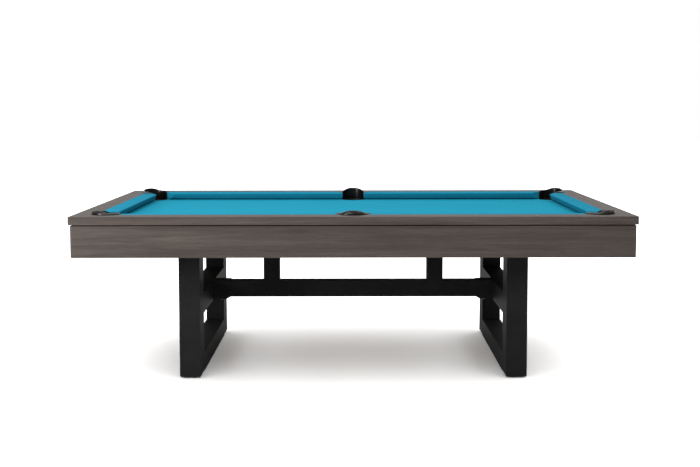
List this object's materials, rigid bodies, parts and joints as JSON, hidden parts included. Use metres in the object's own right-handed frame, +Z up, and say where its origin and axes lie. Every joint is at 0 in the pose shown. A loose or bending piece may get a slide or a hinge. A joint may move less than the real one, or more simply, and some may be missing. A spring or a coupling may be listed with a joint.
{
  "type": "pool table",
  "caption": "Pool table with a slate bed in blue cloth, flat charcoal-oak rails and aprons, black leather pocket collars and a welded black steel ladder base.",
  "frame": {"origin": "on the floor, under the middle of the table", "axes": "+X along the table's length, -Y towards the front long rail, +Z up"},
  "size_m": [2.59, 1.472, 0.8209],
  "materials": {
    "rail_wood": "weathered charcoal oak, satin lacquer",
    "apron_wood": "weathered charcoal oak, satin lacquer",
    "shadow_strip": "black stained",
    "frame_wood": "planed softwood",
    "slate": "honed",
    "bed_cloth": "napped worsted wool, electric blue",
    "rail_cloth": "napped worsted wool, electric blue",
    "feather_strip": "cloth-covered spline",
    "cushion_rubber": "natural gum rubber",
    "sight": "dark pearl inlay",
    "collar_leather": "glossy black hide over a cast iron",
    "bag_leather": "black hide",
    "base_steel": "satin black powder coat",
    "fastener": "zinc plated",
    "foot_stem": "zinc plated",
    "foot_pad": "black moulded rubber"
  },
  "bodies": {
    "table": {"base_bolts": "fastener", "bed_cloth": "bed_cloth", "chassis_beams": "frame_wood", "corner_blocks": "frame_wood", "cushion_rubbers": "cushion_rubber", "feather_strips": "feather_strip", "foot_nuts": "fastener", "front_apron": "apron_wood", "front_left_bag": "bag_leather", "front_left_collar": "collar_leather", "front_rail": "rail_wood", "front_right_bag": "bag_leather", "front_right_collar": "collar_leather", "front_side_bag": "bag_leather", "front_side_collar": "collar_leather", "left_bottom_bar": "base_steel", "left_cross_bar": "base_steel", "left_end_apron": "apron_wood", "left_end_rail": "rail_wood", "left_front_post": "base_steel", "left_rear_post": "base_steel", "left_stretcher_socket": "base_steel", "left_support_post": "base_steel", "left_top_plate": "base_steel", "rail_bolts": "fastener", "rail_cloths": "rail_cloth", "rail_sights": "sight", "rear_apron": "apron_wood", "rear_left_bag": "bag_leather", "rear_left_collar": "collar_leather", "rear_rail": "rail_wood", "rear_right_bag": "bag_leather", "rear_right_collar": "collar_leather", "rear_side_bag": "bag_leather", "rear_side_collar": "collar_leather", "reveal_strips": "shadow_strip", "right_bottom_bar": "base_steel", "right_cross_bar": "base_steel", "right_end_apron": "apron_wood", "right_end_rail": "rail_wood", "right_front_post": "base_steel", "right_rear_post": "base_steel", "right_stretcher_socket": "base_steel", "right_support_post": "base_steel", "right_top_plate": "base_steel", "slate_backers": "frame_wood", "slate_center": "slate", "slate_left": "slate", "slate_right": "slate", "slate_screws": "fastener", "stretcher_beam": "base_steel", "support_flanges": "base_steel"},
    "front_left_foot": {"front_left_foot_pad": "foot_pad"},
    "front_left_screw": {"front_left_foot_stem": "foot_stem"},
    "rear_left_foot": {"rear_left_foot_pad": "foot_pad"},
    "rear_left_screw": {"rear_left_foot_stem": "foot_stem"},
    "front_right_foot": {"front_right_foot_pad": "foot_pad"},
    "front_right_screw": {"front_right_foot_stem": "foot_stem"},
    "rear_right_foot": {"rear_right_foot_pad": "foot_pad"},
    "rear_right_screw": {"rear_right_foot_stem": "foot_stem"}
  },
  "joints": [
    {"name": "front_left_foot_height", "type": "slide", "parent": "table", "child": "front_left_foot", "axis": [0, 0, -1], "range_m": [0, 0.016]},
    {"name": "front_left_foot_turn", "type": "hinge", "parent": "front_left_foot", "child": "front_left_screw", "pos_m": [-0.78, -0.456, 0.02], "axis": [0, 0, -1], "range_deg": [0, 3300]},
    {"name": "rear_left_foot_height", "type": "slide", "parent": "table", "child": "rear_left_foot", "axis": [0, 0, -1], "range_m": [0, 0.016]},
    {"name": "rear_left_foot_turn", "type": "hinge", "parent": "rear_left_foot", "child": "rear_left_screw", "pos_m": [-0.78, 0.456, 0.02], "axis": [0, 0, -1], "range_deg": [0, 3300]},
    {"name": "front_right_foot_height", "type": "slide", "parent": "table", "child": "front_right_foot", "axis": [0, 0, -1], "range_m": [0, 0.016]},
    {"name": "front_right_foot_turn", "type": "hinge", "parent": "front_right_foot", "child": "front_right_screw", "pos_m": [0.78, -0.456, 0.02], "axis": [0, 0, -1], "range_deg": [0, 3300]},
    {"name": "rear_right_foot_height", "type": "slide", "parent": "table", "child": "rear_right_foot", "axis": [0, 0, -1], "range_m": [0, 0.016]},
    {"name": "rear_right_foot_turn", "type": "hinge", "parent": "rear_right_foot", "child": "rear_right_screw", "pos_m": [0.78, 0.456, 0.02], "axis": [0, 0, -1], "range_deg": [0, 3300]}
  ],
  "couplings": [
    {"joint": "front_left_foot_turn", "follows": "front_left_foot_height", "rad_per_m": 3590.4},
    {"joint": "rear_left_foot_turn", "follows": "rear_left_foot_height", "rad_per_m": 3590.4},
    {"joint": "front_right_foot_turn", "follows": "front_right_foot_height", "rad_per_m": 3590.4},
    {"joint": "rear_right_foot_turn", "follows": "rear_right_foot_height", "rad_per_m": 3590.4}
  ]
}
